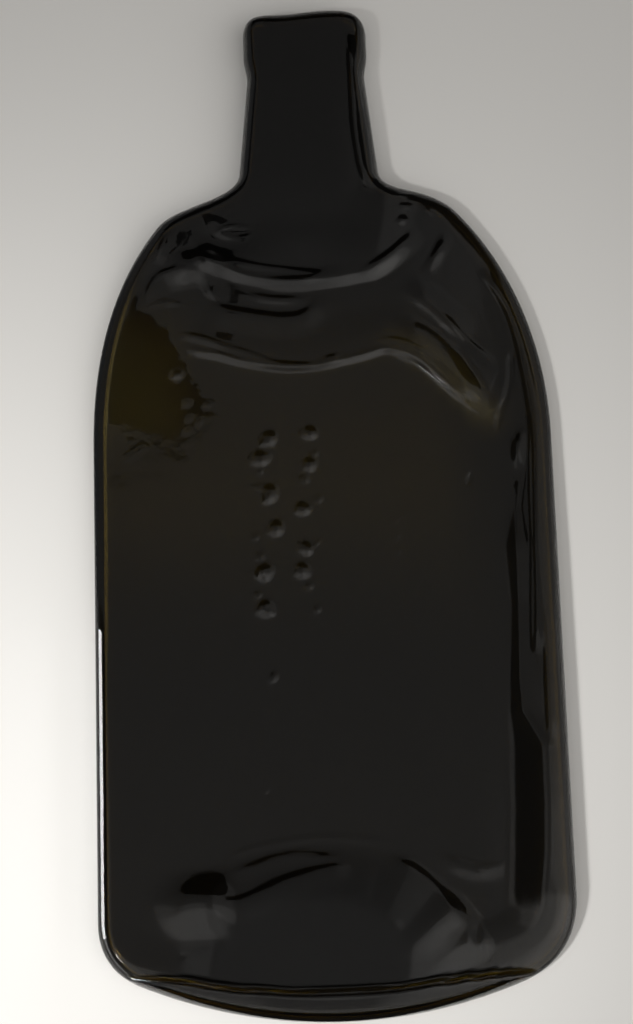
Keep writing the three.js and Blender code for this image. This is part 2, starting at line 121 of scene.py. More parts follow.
def heel(side, t):
    """The rounded corner between the base end and the side"""
    cut = heel_cut[side]
    corner = np.array([side * half_body, end_arc(half_body)])
    turn = math.asin(half_body / end_arc_radius) - cut / end_arc_radius
    x = end_arc_radius * math.sin(turn)
    return bezier([(side * x, end_arc(x)), corner, corner + (0, cut)], t)


def shoulder(side, t):
    """A quarter of a superellipse, from the side of the body towards the neck"""
    angle = shoulder_end[side] * t
    power = 2 / shoulder_power[side]
    x = side * half_body * np.cos(angle) ** power
    y = side_length + (shoulder_length + shoulder_overrun) * np.sin(angle) ** power
    return np.stack([x, y], 1)


def mouth_height(x):
    share = (x - neck_offset) / lip_width
    middle = np.clip(1 - (2.4 * share) ** 2, 0, 1) ** 2
    return mouth_end + mouth_tilt * share + mouth_wave * np.sin(2 * math.pi * share) * middle


def lip_corner(side, t):
    cut = lip_cut[side]
    x = neck_offset + side * lip_width / 2
    across = x - side * cut
    corner = mouth_height(x)
    return bezier([(x, corner - cut), (x, corner), (across, mouth_height(across))], t)


CURVE_STEPS = 200


def side_line(side):
    """One side of the outline, from the middle of the heel corner to the middle of the lip corner"""
    t = np.linspace(0, 1, CURVE_STEPS)
    turn = shoulder(side, t)
    leaving = unit(turn[-1] - turn[-2])
    root = np.array([neck_offset + side * neck_root_width / 2, neck_root])
    top = np.array([neck_offset + side * neck_width / 2, neck_top])
    lip = np.array([neck_offset + side * lip_width / 2, lip_start])
    up = unit(top - root)
    root_bend = [turn[-1], turn[-1] + leaving * root_reach[side], root - up * neck_root_reach, root]
    swell = [top, top + up * lip_swell, lip - (0, lip_swell), lip]
    runs = [heel(side, (1 + t) / 2), turn, bezier(root_bend, t), bezier(swell, t), lip_corner(side, t / 2)]
    line = np.concatenate(runs)
    moved = np.hypot(*np.diff(line, axis=0).T) > 1e-6
    return line[np.r_[True, moved]]


def across_line(left, right, height):
    """The base end or the mouth end, between the middles of its two corners"""
    x = np.linspace(left[-1, 0], right[0, 0], CURVE_STEPS)
    return np.concatenate([left[:-1], np.stack([x, height(x)], 1), right[1:]])


# Heights of the top face. The upper half sank on to the lower half and made the panel. From there the
# shoulder rises gently to the neck, and the folds that the heat left are low beads and steps.
trapped_air = 0.3
panel_height = 2 * wall + trapped_air
shoulder_rise = 4.0
shoulder_ring = 100.0
shoulder_tilt = 1.3
tilt_across, tilt_begins, tilt_ends = (-22, -62), (150, 190), (245, 215)
waves, fine_waves = 0.10, 0.05
left_rim_rise = 1.1
rim_change = 20.0
crease_round = 0.8
ring_centre = np.array([-7.0, neck_root + 1])
collar_ring = 42.0
base_centre = (-8.0, 10.3)
base_half_width = 48.0
base_reach = 42.0
base_power = 2.5
sheet_rise = 2.2
sheet_slope = 19.0
ridge_height = 14.0
ridge_wall = 2.2
ridge_fall = 3.0
heel_top = end_arc(half_body) + max(heel_cut.values())
end_turn = 12.0


def neck_share(y):
    return ease(neck_root - collar_ring / 2, neck_root, y)


def end_share(y):
    return ease(heel_top, end_turn, y)


def slumped(t, top_round, foot_round):
    """A step from 0 at its foot to 1 at its top, straight between two rounded ends"""
    t = np.clip(t, 0, 1)
    foot = np.where(t < foot_round, t * t / (2 * foot_round), t - foot_round / 2)
    past = np.clip(t - (1 - top_round), 0, top_round)
    return (foot - past * past / (2 * top_round)) / (1 - foot_round / 2 - top_round / 2)


def ring_distance(x, y):
    return np.hypot(x - ring_centre[0], np.minimum(y - ring_centre[1], 0))


def base_distance(x, y):
    across = np.abs(x - base_centre[0]) / base_half_width
    up = np.maximum(y - base_centre[1], 0) / base_reach
    return (across**base_power + up**base_power) ** (1 / base_power)


def rounded_line(points, steps=5):
    """A smooth line that passes through each of some points"""
    points = np.asarray(points, float)
    points = np.concatenate([2 * points[:1] - points[1:2], points, 2 * points[-1:] - points[-2:-1]])
    line = []
    for a, b, c, d in zip(points, points[1:], points[2:], points[3:]):
        for t in np.arange(steps) / steps:
            line.append(b + (c - a) * t / 2 + (a - 2.5 * b + 2 * c - d / 2) * t * t
                        + (1.5 * b - a / 2 - 1.5 * c + d / 2) * t**3)
    return np.array(line + [points[-2]])


def beside(x, y, line):
    """Distance to the right of a line, below 0 on its left, and the share that is passed there"""
    run = np.hypot(*np.diff(line, axis=0).T)
    passed = np.r_[0, np.cumsum(run)]
    nearest = np.full(x.shape, np.inf)
    share = np.zeros(x.shape)
    for a, b, length, before in zip(line[:-1], line[1:], run, passed):
        dx, dy = (b - a) / length
        along = np.clip((x - a[0]) * dx + (y - a[1]) * dy, 0, length)
        off = np.hypot(x - a[0] - along * dx, y - a[1] - along * dy)
        right = np.where((x - a[0]) * dy - (y - a[1]) * dx < 0, -1.0, 1.0)
        share = np.where(off < np.abs(nearest), (before + along) / passed[-1], share)
        nearest = np.where(off < np.abs(nearest), off * right, nearest)
    return nearest, share


def ends_fade(share, reach):
    return ease(0, reach, share) * ease(1, 1 - reach, share)


def bead(x, y, line, half_width, height):
    """A low bead along a line, or a groove where its height is below 0; its ends run out"""
    off, share = beside(x, y, line)
    return height * np.exp(-((off / half_width) ** 2)) * ends_fade(share, 0.15)


ledge_end = 9.0


def ledge(x, y, line, width, rise, settle):
    """A step up to the left of a line, which settles again over a longer distance"""
    off, share = beside(x, y, line)
    up = slumped(0.5 - off / width, 0.3, 0.3) * ease(-settle, -width / 2, off)
    length = np.hypot(*np.diff(line, axis=0).T).sum()
    return rise * up * ends_fade(share, min(0.5, ledge_end / length))


def dent(x, y, place, half_length, half_width, degrees, height):
    """A smooth oval swelling, or a hollow where its height is below 0"""
    c, s = math.cos(math.radians(degrees)), math.sin(math.radians(degrees))
    u = ((x - place[0]) * c + (y - place[1]) * s) / half_length
    v = ((y - place[1]) * c - (x - place[0]) * s) / half_width
    return height * np.clip(1 - u * u - v * v, 0, 1) ** 3


# The two folds across the shoulder, the blunt fold at the left of the base sheet, and the middle of
# the tongue that the second fold ends in
collar_fold = rounded_line([
    (-39.5, 231.5), (-34.4, 229.1), (-29.8, 226.7), (-23.7, 224.2), (-17.6, 222.7), (-11.5, 221.2),
    (-5.3, 221.0), (0.8, 221.5), (7.0, 222.2), (11.6, 223.0), (16.3, 223.9), (21.0, 226.0),
    (25.7, 229.7), (29.5, 234.5), (32.5, 240.0),
])
shoulder_fold = rounded_line([
    (-43.6, 205.0), (-41.0, 203.0), (-36.6, 201.2), (-30.5, 200.0), (-24.4, 197.9), (-12.2, 195.6),
    (0.0, 195.8), (12.3, 198.3), (21.0, 200.3), (29.4, 197.1), (36.8, 190.5), (41.4, 185.3),
    (47.9, 180.0), (53.3, 178.6),
])
base_fold = rounded_line([(-20.0, 38.6), (-30.0, 40.4), (-38.0, 41.0), (-46.0, 40.4), (-60.0, 37.0)])
tongue_line = rounded_line([(22.0, 206.5), (31.0, 203.8), (38.5, 197.5), (44.0, 190.0), (49.5, 182.0)])
collar_rise, collar_width = 0.9, 3.8
collar_hollows, collar_hollow_depth = [(-32, 6), (-4, 9)], 0.55
shoulder_step, shoulder_step_width = 0.5, 1.9
shoulder_crest, crest_half_width = 0.17, 0.95
base_fold_rise, base_fold_width = 2.2, 11
tongue_rise, tongue_half_widths = 0.42, (7.0, 3.5)


def collar_relief(x, y):
    """A step up towards the neck, which settles again behind two shallow hollows"""
    off, _ = beside(x, y, collar_fold)
    left_end = ease(-12, -30, x)
    settled = ease(lerp(-24, -9.5, left_end), lerp(-6, -2.5, left_end), off)
    slope = collar_rise * slumped(0.5 - off / collar_width, 0.15, 0.15) * settled
    deep = sum(np.exp(-(((x - middle) / spread) ** 2)) for middle, spread in collar_hollows)
    behind = ease(-1.9, -6.2, off) * ease(-17, -6.2, off)
    return (slope - collar_hollow_depth * deep * behind) * ease(-39.5, -32, x) * ease(31, 18, x)


def shoulder_relief(x, y):
    """A smaller step with a sharp crest, which ends in the tongue"""
    off, share = beside(x, y, shoulder_fold)
    slope = slumped(0.5 - (off - 0.6) / shoulder_step_width, 0.2, 0.15) * ease(-16, -2.5, off)
    crest = shoulder_crest * np.exp(-(((off + 0.5) / crest_half_width) ** 2))
    return (shoulder_step * slope + crest) * ends_fade(share, 0.12)


def base_relief(x, y):
    """A blunt step on the base sheet, which slopes off gently to its left"""
    off, _ = beside(x, y, base_fold)
    slope = base_fold_rise * slumped(0.5 - off / base_fold_width, 0.3, 0.3) * ease(-18, -5.5, off)
    return slope * ease(-62, -38, x) * ease(-27.5, -38, x)


def tongue_relief(x, y):
    off, share = beside(x, y, tongue_line)
    reach = lerp(*tongue_half_widths, share)
    return tongue_rise * np.clip(1 - (off / reach) ** 2, 0, 1) ** 2 * ends_fade(share, 0.2)


# Small swellings and hollows: place, half length, half width, turn in degrees, height
swellings = [
    ((28.2, 250.0), 4.5, 1.3, 5, 0.2),
    ((26.9, 241.6), 2.6, 2.2, 20, 0.32),
    ((34.5, 245.0), 3.4, 1.4, -60, 0.2),
    ((38.1, 206.6), 2.2, 1.2, -45, -0.12),
    ((-43.8, 194.7), 2.3, 2.5, 0, 0.5),
    ((-34.5, 184.9), 1.6, 1.5, 0, 0.28),
    ((-41.5, 185.2), 0.9, 0.9, 0, 0.12),
    ((-37.2, 179.5), 2.2, 1.2, 70, 0.3),
    ((-17.0, 100.2), 3.2, 2.2, 50, 0.28),
    ((44.3, 159.4), 2.6, 1.0, 85, -0.3),
    ((-18.7, 66.2), 2.6, 1.3, 40, -0.15),
    ((39.8, 23.5), 4.4, 2.1, 100, -0.6),
    ((-45.5, 20.0), 1.4, 1.2, 0, -0.25),
]
# Beads and grooves: line, half width, height
beads = [
    # the ring beside the neck's root
    ([(-19.3, 238.9), (-21.2, 240.3), (-24.5, 241.1), (-27.7, 240.9), (-29.9, 239.6), (-27.4, 238.0),
      (-24.0, 237.2), (-21.2, 237.7), (-19.3, 238.9)], 0.75, 0.17),
    # the tongue's middle, and the fold that runs from its tip to the rim
    ([(40.6, 201.3), (44.4, 196.2), (48.1, 190.0), (50.6, 185.2), (51.4, 181.1)], 0.9, -0.15),
    ([(58.3, 199.3), (57.9, 190.4), (56.4, 184.1), (54.4, 179.8), (53.4, 173.5)], 0.8, -0.3),
    ([(43.5, 183.1), (47.7, 180.6), (51.3, 179.6), (54.5, 178.6)], 0.7, 0.15),
    # the top of the base sheet, and a crease on the left of the panel
    ([(15.8, 50.5), (4.3, 52.2), (-4.4, 52.6), (-13.2, 52.0), (-24.9, 50.0), (-33.0, 47.0)], 0.8, 0.14),
    ([(-60.5, 168.0), (-57.0, 170.5), (-53.5, 172.5)], 0.8, 0.14),
]
# Ledges, which step up to the left of a line and settle again: line, width, rise, settling distance
ledges = [
    # beside the neck's right edge, and along the right rim
    ([(11.0, 304.5), (11.8, 299.0), (12.0, 288.1), (12.2, 274.7), (13.1, 264.7), (14.4, 257.4),
      (16.9, 249.5)], 2.0, 0.70, 5.0),
    ([(49.2, 224.8), (53.2, 219.6), (57.2, 211.9), (59.8, 202.3), (61.4, 192.6), (62.5, 183.0),
      (62.9, 173.3), (62.1, 145.2), (61.1, 120.8), (60.2, 103.7)], 1.6, 0.62, 5.0),
    # above the collar's fold: the wedge and the hook at its right end, two short marks, and the
    # lens and the broad hollow at its left end
    ([(31.0, 240.0), (25.3, 234.1), (21.4, 230.8), (17.4, 228.2), (12.0, 225.4)], 1.9, 0.50, 6.0),
    ([(39.7, 238.0), (36.0, 230.6), (32.5, 224.5)], 2.0, 0.60, 4.0),
    ([(31.4, 247.2), (28.3, 246.9), (24.9, 246.6)], 1.2, 0.20, 3.0),
    ([(3.0, 225.5), (-3.6, 226.5), (-9.8, 227.3), (-16.8, 228.2), (-23.5, 229.8), (-30.0, 231.6)],
     1.2, 0.22, 2.5),
    ([(3.0, 225.1), (-5.2, 223.8), (-12.9, 223.8), (-19.1, 224.8), (-24.3, 226.6), (-30.0, 229.8)],
     1.2, 0.22, 3.0),
    ([(-25.0, 230.8), (-31.0, 231.8), (-37.0, 232.6), (-48.0, 231.8)], 6.0, 0.90, 11.0),
    # round the left end of the shoulder
    ([(-36.0, 228.4), (-40.6, 228.8), (-44.7, 228.7), (-49.0, 227.4), (-51.9, 224.1), (-53.5, 219.7),
      (-55.5, 215.3)], 2.2, 0.36, 8.0),
    ([(-43.5, 243.0), (-46.9, 238.4), (-48.9, 234.7), (-50.4, 230.0)], 1.5, 0.30, 5.0),
    ([(-42.2, 214.8), (-42.4, 217.8), (-47.1, 218.8), (-51.7, 217.4), (-54.5, 215.0)], 1.0, 0.16, 3.0),
    # the loop under the collar's fold
    ([(-36.5, 227.0), (-35.2, 222.0), (-32.6, 218.5), (-27.5, 216.0)], 1.9, 0.34, 7.0),
    ([(-1.6, 219.5), (-2.0, 216.2), (-4.6, 213.4), (-8.7, 212.4), (-13.3, 212.6), (-20.9, 213.9),
      (-28.6, 215.8), (-34.5, 219.0)], 2.6, 0.52, 9.0),
    ([(-1.5, 217.4), (-6.1, 217.9), (-13.1, 218.2), (-19.2, 219.4), (-25.0, 221.6)], 1.6, 0.30, 3.5),
    # above the second fold and round the tongue
    ([(0.5, 197.0), (-6.1, 197.0), (-13.7, 198.0), (-21.2, 201.0), (-26.7, 203.0), (-31.9, 205.2),
      (-36.5, 207.0), (-41.1, 207.9), (-46.5, 207.0)], 1.2, 0.22, 3.5),
    ([(8.0, 199.3), (4.0, 199.2), (-1.5, 197.6)], 1.8, 0.28, 4.0),
    ([(36.8, 197.8), (30.8, 200.8), (26.3, 203.2), (21.7, 204.2), (18.0, 203.6), (15.0, 202.0)],
     1.2, 0.22, 4.0),
    ([(24.0, 218.5), (30.0, 215.0), (35.0, 210.8), (39.9, 205.2), (44.0, 200.5)], 3.6, 0.60, 9.0),
    ([(55.5, 195.2), (47.7, 201.5), (41.8, 208.0), (35.8, 214.2)], 1.1, 0.20, 4.0),
    ([(29.5, 196.4), (25.2, 198.9), (21.5, 200.6)], 1.6, 0.26, 3.0),
    ([(21.5, 200.4), (28.2, 197.2), (32.9, 193.2), (36.7, 189.3), (41.5, 185.6), (48.0, 182.5)],
     2.4, 0.60, 9.0),
    # the folds on the base sheet
    ([(6.0, 45.2), (-4.1, 44.5), (-10.5, 42.9), (-16.4, 41.1), (-22.2, 38.6), (-28.0, 36.3),
      (-36.0, 35.0)], 1.7, 0.35, 8.0),
    ([(5.0, 47.2), (-4.6, 48.2), (-10.4, 49.0), (-17.7, 48.1), (-25.0, 45.6), (-33.0, 43.6)],
     1.3, 0.28, 5.0),
    ([(40.0, 26.0), (36.2, 30.6), (33.0, 34.6), (29.6, 38.2), (25.6, 41.9), (21.0, 45.0), (14.0, 47.5)],
     3.0, 0.72, 24.0),
    ([(45.5, 17.5), (40.5, 25.0), (36.5, 30.4), (33.0, 34.5), (29.5, 38.0)], 6.0, 0.90, 26.0),
    ([(50.0, 43.5), (46.3, 43.3), (40.4, 43.6), (33.3, 46.2), (29.0, 48.5)], 1.6, 0.32, 6.0),
    # a second step high on the right rim, and a drop above the first
    ([(64.6, 121.0), (64.1, 106.0), (63.6, 91.0), (63.4, 76.0)], 1.4, 0.36, 4.0),
    ([(59.6, 176.0), (57.8, 168.5), (57.6, 160.0)], 2.6, 0.75, 4.0),
]
ridge_line = [
    (-61.8, 14.3), (-45.9, 13.0), (-34.5, 10.8), (-17.3, 9.2), (0.0, 8.7), (17.3, 9.4), (34.6, 11.2),
    (47.6, 12.2), (60.0, 12.3),
]
beads = [(rounded_line(points), *profile) for points, *profile in beads]
ledges = [(rounded_line(points), *profile) for points, *profile in ledges]
ridge_line = rounded_line(ridge_line)
# The right rim: place along it, depth of its foot, width and height of its inner step, full height
rim_at = np.array([34.7, 46.0, 60.0, 78.0, 88.0, 98.0, 121.0, 138.0, 150.0, 166.0, 180.0, 200.0])
rim_foot = np.array([21.0, 20.0, 19.2, 18.6, 18.2, 17.6, 16.2, 17.4, 15.0, 15.6, 14.0, 12.0])
rim_width = np.array([12.0, 12.5, 12.5, 12.0, 5.5, 4.4, 3.8, 5.5, 3.0, 7.5, 7.5, 6.0])
rim_step = np.array([3.4, 3.6, 3.6, 3.5, 1.9, 1.6, 1.3, 1.7, 0.8, 0.7, 0.6, 0.4])
rim_top = np.array([3.4, 3.4, 3.4, 3.4, 3.4, 3.4, 3.2, 2.8, 2.4, 1.9, 1.4, 1.0])
rim_crest_depth = 3.5
right_rim_begins = (12, 36)
left_rim_depths, left_rim_ends = (26, 2), (170, 115)


def rim_height(x, y, depth):
    right = ease(-rim_change, rim_change, x)
    tables = (rim_foot, rim_width, rim_step, rim_top)
    foot, width, step, top = [np.interp(y, rim_at, table) for table in tables]
    side = step * slumped((foot - depth) / width, 0.15, 0.12)
    crest = (top - step) * ease(foot - width, rim_crest_depth, depth)
    left_side = left_rim_rise * ease(*left_rim_depths, depth) * ease(*left_rim_ends, y)
    return panel_height + lerp(left_side, (side + crest) * ease(*right_rim_begins, y), right)


def top_height(x, y, depth):
    """Height of the top face, before its edges are rounded down"""
    ramp = slumped((shoulder_ring - ring_distance(x, y)) / shoulder_ring, 0.2, 0.3)
    z = panel_height + shoulder_rise * ramp
    tilt = shoulder_tilt * ease(*tilt_across, x)
    z = z - tilt * ease(*tilt_begins, y) * ease(*tilt_ends, y)
    z = z + collar_relief(x, y) + shoulder_relief(x, y) + tongue_relief(x, y)
    z = z + waves * np.sin(x / 17 + 0.6) * np.sin(y / 23 + 0.5)
    z = z + fine_waves * np.sin(x / 9 + y / 13)
    inside = (1 - base_distance(x, y)) * base_reach
    z = z + sheet_rise * slumped(inside / sheet_slope, 0.25, 0.2) + base_relief(x, y)
    off, _ = beside(x, y, ridge_line)
    up = slumped(0.5 + off / ridge_wall, 0.2, 0.2) * ease(40, 10, y)
    z = lerp(z, np.maximum(z, ridge_height - ridge_fall * np.abs(x / half_body) ** 3), up)
    z = rounded_max(z, rim_height(x, y, depth), crease_round)
    for swelling in swellings:
        z = z + dent(x, y, *swelling)
    for line in beads:
        z = z + bead(x, y, *line)
    for line in ledges:
        z = z + ledge(x, y, *line)
    return z


# Thickness of the glass and the hollow inside it. The wall is thinner at the left shoulder and in
# the tongue, where light gets through, and thick in the neck and the base.
neck_wall = wall + 1.2
neck_side_wall = wall + 0.3
lower_neck_wall = wall + 1.2
base_wall = wall + 1.6
thin_spot = 2.0
thin_middle, thin_spread = (-56, 196), (26, 32)
thin_panel = 0.75
thin_tongue, thin_tongue_spread = 1.1, 8
inner_round = 0.3


def thinning(x, y):
    """How much glass is lacking, most at the left shoulder and in the tongue"""
    across, along = (x - thin_middle[0]) / thin_spread[0], (y - thin_middle[1]) / thin_spread[1]
    left = np.exp(-(across**4) - along**4)
    panel = thin_panel * ease(64, 30, x) * ease(90, 160, y) * ease(240, 205, y)
    off, _ = beside(x, y, tongue_line)
    tongue = thin_tongue * np.exp(-((off / thin_tongue_spread) ** 2))
    return thin_spot * np.maximum(np.maximum(left, panel), tongue)


def upper_wall(x, y):
    z = lerp(wall, neck_wall, ease(shoulder_ring, collar_ring / 2, ring_distance(x, y)))
    z = lerp(z, base_wall, ease(1, 1 - sheet_slope / base_reach, base_distance(x, y)))
    return z - thinning(x, y)


def lower_top(x, y):
    return lerp(wall, lower_neck_wall, neck_share(y)) - thinning(x, y)


def upper_underside(x, y, depth):
    under = top_height(x, y, depth) - upper_wall(x, y)
    return rounded_max(under, lower_top(x, y) + trapped_air, inner_round)


# Folded edges: where the upper and lower glass meet, and how far the rounding reaches in
side_seam_height = wall + 1.4
neck_height = panel_height + shoulder_rise
neck_hollow = neck_height - neck_wall - lower_neck_wall
neck_seam_height = lower_neck_wall + neck_hollow / 2
end_seam_height = wall + trapped_air / 2
slit_inset = 6.5
mouth_half_width = lip_width / 2 - slit_inset
left_round, right_round, neck_round, end_round = 1.4, 3.0, 0.3, 6.1
end_round_fade = 34


def seam_height(y):
    side = lerp(side_seam_height, neck_seam_height, neck_share(y))
    return lerp(side, end_seam_height, end_share(y))


def fold_wall(y):
    return lerp(wall, neck_side_wall, neck_share(y))


def round_reach(x, y):
    body = lerp(left_round, right_round, ease(-rim_change, rim_change, x))
    side = lerp(body, neck_round, neck_share(y))
    on_end = end_share(y) * ease(0, end_round_fade, half_body - np.abs(x))
    return fold_wall(y) + lerp(side, end_round, on_end)


# The mesh: four faces that cover the outline, joined at the fold round the edge and at the mouth.
# Each is a set of rings round the edge and a grid inside them, and all but the top are coarser.
across_steps, along_steps = 168, 384
# Finer stretches across and along: middle, spread, and how much closer together the steps are there
finer_across = [(-11.0, 22.0, 0.35), (59.0, 6.5, 1.3)]
finer_along = [(147.0, 42.0, 0.5), (213.0, 26.0, 0.9)]
corner_reach = 6.0
corner_thinning = 0.25


def closeness(place, finer):
    close = np.ones(len(place))
    for middle, spread, more in finer:
        close = close + more * np.exp(-(((place - middle) / spread) ** 4))
    return close


def ways_in(points):
    ahead = np.roll(points, -1, axis=0) - points
    ahead /= np.hypot(*ahead.T)[:, None]
    way = ahead + np.roll(ahead, 1, axis=0)
    way /= np.hypot(*way.T)[:, None]
    way = np.stack([-way[:, 1], way[:, 0]], 1)
    corners = [(neck_offset + side * lip_width / 2, mouth_end) for side in (LEFT, RIGHT)]
    near = sum(np.exp(-(np.hypot(*(points - corner).T) / corner_reach) ** 2) for corner in corners)
    return way * (1 - corner_thinning * near)[:, None]


t = np.linspace(0, 1, CURVE_STEPS)
end_line = across_line(heel(LEFT, (1 - t) / 2), heel(RIGHT, t / 2), end_arc)
mouth_line = across_line(lip_corner(LEFT, (1 + t) / 2), lip_corner(RIGHT, 1 - t / 2), mouth_height)
lines = [end_line, side_line(RIGHT), mouth_line[::-1], side_line(LEFT)[::-1]]
steps = [across_steps, along_steps, across_steps, along_steps]
axes = [0, 1, 0, 1]
finer_steps = [finer_across, finer_along, [], finer_along]
fine_outline = np.concatenate([line[:-1] for line in lines])
fine_inward = ways_in(fine_outline)
fine_reach = round_reach(*fine_outline.T)


def spaced(first, last, count, axis, finer):
    """Points of the outline with their ways in, nearer together where the closeness is larger"""
    at = np.arange(first, last + 1) % len(fine_outline)
    outer, way_in = fine_outline[at], fine_inward[at]
    inner = outer + way_in * fine_reach[at][:, None]
    run = np.hypot(*np.diff(outer, axis=0).T) + np.hypot(*np.diff(inner, axis=0).T)
    middles = (outer[1:] + outer[:-1]) / 2
    way = np.r_[0, np.cumsum(run * closeness(middles[:, axis], finer))]
    chosen = np.linspace(0, way[-1], count + 1)[:-1]
    both = np.hstack([outer, way_in])
    return np.stack([np.interp(chosen, way, both[:, k]) for k in range(4)], 1)


# The closed outline, anticlockwise seen from above, with the way in at each point
starts = np.cumsum([0] + [len(line) - 1 for line in lines])
sides_and_ends = zip(starts[:-1], starts[1:], steps, axes, finer_steps)
stretches = [spaced(*part) for part in sides_and_ends]
outline, inward = np.hsplit(np.concatenate(stretches), 2)


def depth_inside(x, y):
    shape = x.shape
    x, y = x.ravel(), y.ravel()
    nearest = np.full(x.shape, np.inf)
    ahead = np.roll(outline, -1, axis=0) - outline
    for start in range(0, len(outline), 12):
        a = outline[start : start + 12]
        d = ahead[start : start + 12]
        t = ((x[:, None] - a[:, 0]) * d[:, 0] + (y[:, None] - a[:, 1]) * d[:, 1]) / (d**2).sum(1)
        t = np.clip(t, 0, 1)
        off = np.hypot(x[:, None] - a[:, 0] - t * d[:, 0], y[:, None] - a[:, 1] - t * d[:, 1])
        nearest = np.minimum(nearest, off.min(1))
    return nearest.reshape(shape)


def slit_share(points):
    """1 across the slit of the mouth and 0 elsewhere, and half the height of the slit"""
    across = (points[:, 0] - neck_offset) / mouth_half_width
    open_here = (points[:, 1] > lip_start + lip_length / 2) & (np.abs(across) < 1)
    gap = np.where(open_here, neck_hollow / 2 * np.sqrt(np.maximum(1 - across**2, 0)), 0)
    return open_here, gap


def rings_of(height, inset, bands, direction):
    """Rings round the edge of a face; the first lies in the fold or on the lip of the mouth"""
    slit, gap = slit_share(outline)
    seam = seam_height(outline[:, 1]) + direction * gap
    reach = round_reach(*outline.T)
    start = np.where(slit, 0, inset(outline[:, 1]))
    rings = []
    for k in range(bands + 1):
        turn = math.pi / 2 * k / bands
        depth = lerp(start, reach, 1 - math.cos(turn))
        x, y = (outline + inward * depth[:, None]).T
        z = lerp(seam, height(x, y, depth), math.sin(turn))
        rings.append(np.stack([x, y, z], 1))
    return rings


def grid_inside(ring, height, across, along):
    """A grid that fills a ring, blended from the four stretches that the ring is made of"""
    end = ring[: across + 1]
    right = ring[across : across + along + 1]
    mouth = ring[across + along : 2 * across + along + 1][::-1]
    left = np.concatenate([ring[2 * across + along :], ring[:1]])[::-1]
    u = np.linspace(0, 1, across + 1)[None, :, None]
    v = np.linspace(0, 1, along + 1)[:, None, None]
    sides = left[:, None] * (1 - u) + right[:, None] * u
    ends = end[None] * (1 - v) + mouth[None] * v
    corners = (end[0] * (1 - u) + end[-1] * u) * (1 - v) + (mouth[0] * (1 - u) + mouth[-1] * u) * v
    grid = sides + ends - corners
    x, y = grid[1:-1, 1:-1, 0], grid[1:-1, 1:-1, 1]
    grid[1:-1, 1:-1, 2] = height(x, y, depth_inside(x, y))
    return grid


class GlassMesh:
    """Gathers corners and triangles, with places that coincide kept once"""

    def __init__(self):
        self.points = []
        self.triangles = []
        self.count = 0

    def add(self, points):
        self.points.append(points)
        self.count += len(points)
        return np.arange(self.count - len(points), self.count)

    def strip(self, outer, inner, flip):
        """Joins two closed rings of corners of the same count"""
        a, b = outer, np.roll(outer, -1)
        c, d = np.roll(inner, -1), inner
        self.take(np.concatenate([np.stack([a, b, c], 1), np.stack([a, c, d], 1)]), flip)

    def coarser_strip(self, outer, inner, flip):
        """Joins a ring to one that has half as many corners"""
        a, m, b = outer[0::2], outer[1::2], np.roll(outer[0::2], -1)
        d, c = inner, np.roll(inner, -1)
        fans = [np.stack([a, m, d], 1), np.stack([m, c, d], 1), np.stack([m, b, c], 1)]
        self.take(np.concatenate(fans), flip)

    def take(self, triangles, flip):
        self.triangles.append(triangles[:, ::-1] if flip else triangles)

    def face(self, rings, height, step, flip):
        """One face: its rings, and a grid inside them that takes every step-th corner"""
        across, along = across_steps // step, along_steps // step
        outer = self.add(rings[0])
        for k, ring in enumerate(rings[1:-1], 1):
            inner = self.add(ring[:: min(2**k, step)])
            halved = len(inner) < len(outer)
            (self.coarser_strip if halved else self.strip)(outer, inner, flip)
            outer = inner
        grid = grid_inside(rings[-1][::step], height, across, along)
        index = self.add(grid.reshape(-1, 3)).reshape(along + 1, across + 1)
        edge = [index[0, :-1], index[:-1, -1], index[-1, :0:-1], index[:0:-1, 0]]
        self.strip(outer, np.concatenate(edge), flip)
        a, b, c, d = index[:-1, :-1], index[:-1, 1:], index[1:, 1:], index[1:, :-1]
        square = [np.stack([a, b, c], -1), np.stack([a, c, d], -1)]
        self.take(np.concatenate([part.reshape(-1, 3) for part in square]), flip)

    def finished(self):
        points = np.concatenate(self.points)
        triangles = np.concatenate(self.triangles)
        key = np.round(points * 1e5).astype(np.int64)
        _, first, same = np.unique(key, axis=0, return_index=True, return_inverse=True)
        triangles = same.ravel()[triangles]
        a, b, c = triangles.T
        return points[first], triangles[(a != b) & (b != c) & (c != a)]


def flat_underside(x, y, depth):
    return np.zeros_like(x)


def lower_glass_top(x, y, depth):
    return lower_top(x, y)


def no_inset(y):
    return np.zeros_like(y)


glass = GlassMesh()
glass.face(rings_of(top_height, no_inset, 12, 1), top_height, 1, False)
glass.face(rings_of(flat_underside, no_inset, 6, -1), flat_underside, 4, True)
glass.face(rings_of(upper_underside, fold_wall, 4, 1), upper_underside, 4, True)
glass.face(rings_of(lower_glass_top, fold_wall, 4, -1), lower_glass_top, 4, False)
points, triangles = glass.finished()
points[:, 1] += base_end
mesh = bpy.data.meshes.new("bottle")
mesh.from_pydata((points * MILLIMETRE).tolist(), [], triangles.tolist())
shape = bmesh.new()
shape.from_mesh(mesh)
slit_ends = [edge for edge in shape.edges if edge.is_boundary]
bmesh.ops.triangulate(shape, faces=bmesh.ops.holes_fill(shape, edges=slit_ends, sides=4)["faces"])
shape.to_mesh(mesh)
shape.free()
mesh.shade_smooth()
bottle = bpy.data.objects.new("bottle", mesh)
bpy.context.scene.collection.objects.link(bottle)


